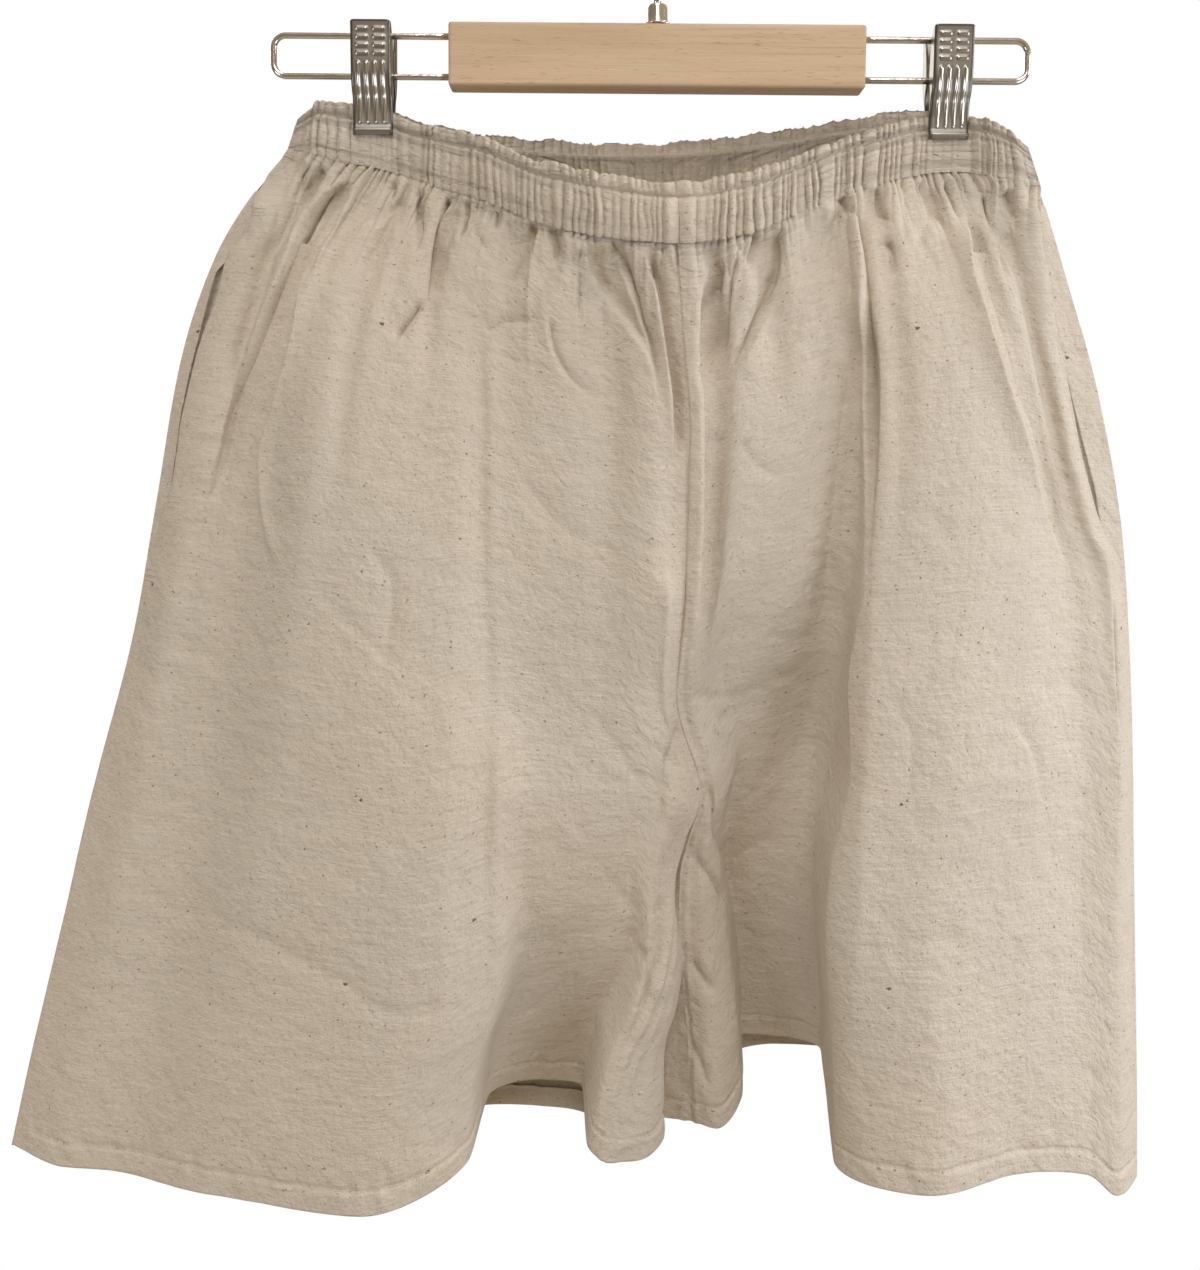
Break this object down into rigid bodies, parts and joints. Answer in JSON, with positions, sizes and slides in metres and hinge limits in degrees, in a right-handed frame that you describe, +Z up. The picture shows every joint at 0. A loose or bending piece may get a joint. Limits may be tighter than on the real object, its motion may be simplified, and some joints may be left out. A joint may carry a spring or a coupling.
{
  "type": "gathered-waist linen shorts on a clip hanger",
  "caption": "Wide-legged natural cloth shorts with an elasticated gathered waist and side pockets, hanging from a wooden bar hanger with wire loops and sprung metal clips.",
  "frame": {"origin": "highest point inside the hook, where a rail carries the hanger", "axes": "+Z up, along the garment's length; +X to the right seen from the front; +Y from the front to the back"},
  "size_m": [0.6075, 0.1301, 0.6777],
  "materials": {
    "cloth": "unbleached slubby plain weave, matt",
    "wood": "pale fine-grained wood, satin",
    "chrome": "bright plated steel"
  },
  "bodies": {
    "root": {"waistband_front": "cloth", "waistband_back": "cloth", "front_left": "cloth", "front_right": "cloth", "back_left": "cloth", "back_right": "cloth", "pocket_bag_left": "cloth", "pocket_bag_right": "cloth", "hanger_bar": "wood", "wire_loop_left": "chrome", "wire_loop_right": "chrome", "clip_front_left": "chrome", "clip_back_left": "chrome", "clip_spring_left": "chrome", "clip_front_right": "chrome", "clip_back_right": "chrome", "clip_spring_right": "chrome", "hook": "chrome", "hook_ferrule": "chrome", "hook_washer": "chrome"}
  },
  "joints": []
}
